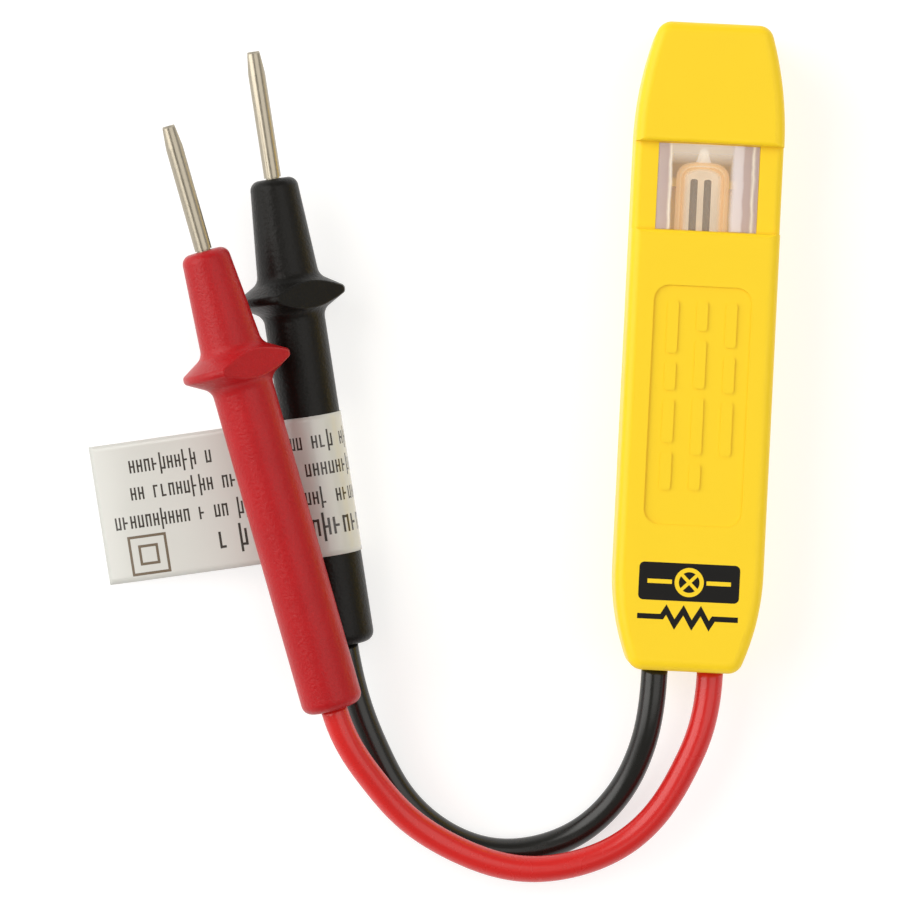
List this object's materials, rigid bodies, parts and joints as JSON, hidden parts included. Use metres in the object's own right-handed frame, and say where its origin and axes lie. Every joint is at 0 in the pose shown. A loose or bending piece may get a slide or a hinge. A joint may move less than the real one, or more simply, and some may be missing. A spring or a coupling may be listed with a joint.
{
  "type": "circuit test light",
  "caption": "Two-probe neon circuit tester: slim yellow housing with a lamp window, short flexible leads and red and black pin probes.",
  "frame": {"origin": "middle of the housing's flat back face, on the surface it lies on", "axes": "+Y towards the lamp end, +X to the right and +Z out of the lamp window"},
  "size_m": [0.0798, 0.1008, 0.0195],
  "materials": {
    "yellow_housing": "satin moulded ABS",
    "clear_lens": "clear polished plastic",
    "lamp_glass": "clear drawn glass",
    "nickel": "bright nickel plate",
    "tinned_wire": "tinned copper",
    "crimp_metal": "plain crimped brass",
    "copper": "bare copper strands",
    "resistor_body": "lacquered",
    "black_sleeve": "heat-shrunk sleeve",
    "black_lead": "smooth flexible PVC",
    "red_lead": "smooth flexible PVC",
    "black_handle": "satin flexible PVC",
    "red_handle": "satin flexible PVC",
    "white_label": "glossy vinyl sticker"
  },
  "bodies": {
    "housing": {"housing_front": "yellow_housing", "housing_back": "yellow_housing", "lens": "clear_lens", "neon_bulb": "lamp_glass", "lamp_electrodes": "nickel", "lamp_wires": "tinned_wire", "ballast_resistor": "resistor_body", "resistor_wires": "tinned_wire", "splice_crimps": "crimp_metal", "splice_sleeve": "black_sleeve", "black_lead_in_housing": "black_lead", "black_strands_in_housing": "copper", "black_lead_housing_side": "black_lead", "red_lead_in_housing": "red_lead", "red_strands_in_housing": "copper", "red_lead_housing_side": "red_lead"},
    "black_probe": {"black_lead_probe_side": "black_lead", "black_lead_in_handle": "black_lead", "black_strands_in_handle": "copper", "black_crimp_barrel": "crimp_metal", "black_probe_pin": "nickel", "black_probe_handle": "black_handle", "caution_label": "white_label"},
    "red_probe": {"red_lead_probe_side": "red_lead", "red_lead_in_handle": "red_lead", "red_strands_in_handle": "copper", "red_crimp_barrel": "crimp_metal", "red_probe_pin": "nickel", "red_probe_handle": "red_handle"}
  },
  "joints": [
    {"name": "black_lead_flex", "type": "hinge", "parent": "housing", "child": "black_probe", "pos_m": [-0.0163, -0.05875, 0.0017], "axis": [0, 0, 1], "range_deg": [-20, 0]},
    {"name": "red_lead_flex", "type": "hinge", "parent": "housing", "child": "red_probe", "pos_m": [-0.01285, -0.0606, 0.0051], "axis": [0, 0, 1], "range_deg": [0, 60]}
  ]
}
